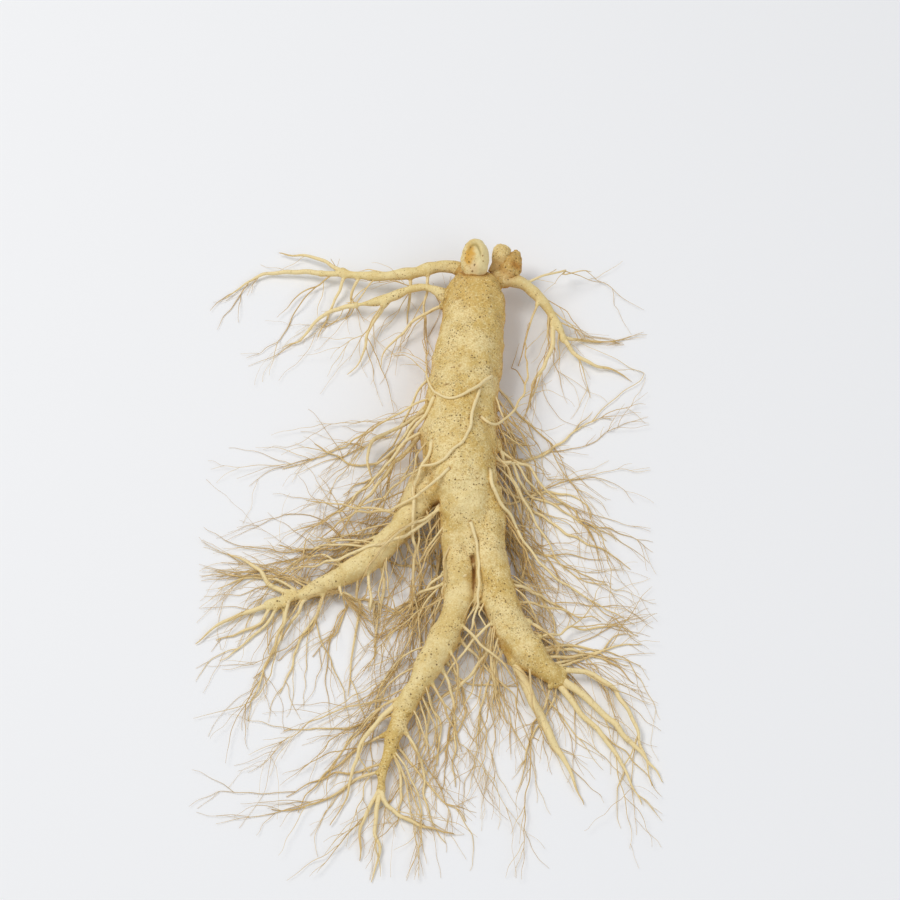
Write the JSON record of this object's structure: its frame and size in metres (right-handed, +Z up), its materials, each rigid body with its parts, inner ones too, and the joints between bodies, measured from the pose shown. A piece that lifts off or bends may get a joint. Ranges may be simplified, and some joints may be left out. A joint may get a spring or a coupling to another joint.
{
  "type": "fresh ginseng root",
  "caption": "Fresh ginseng root lying down: stout tapering body with buds at its crown, forked legs, thin arms at the neck and a beard of fine rootlets.",
  "frame": {"origin": "middle of the flat patch under the fattest part of the main root, on the surface that the root lies on", "axes": "+X to the right seen from above with the crown at the top, +Y along the main root to its crown, +Z up"},
  "size_m": [0.1826, 0.2776, 0.0303],
  "materials": {
    "ginseng_skin": "matt, slightly waxy cream to tan root skin with dark soil specks in its pores and fine creases across it"
  },
  "bodies": {
    "root": {"ginseng_root": "ginseng_skin"}
  },
  "joints": []
}
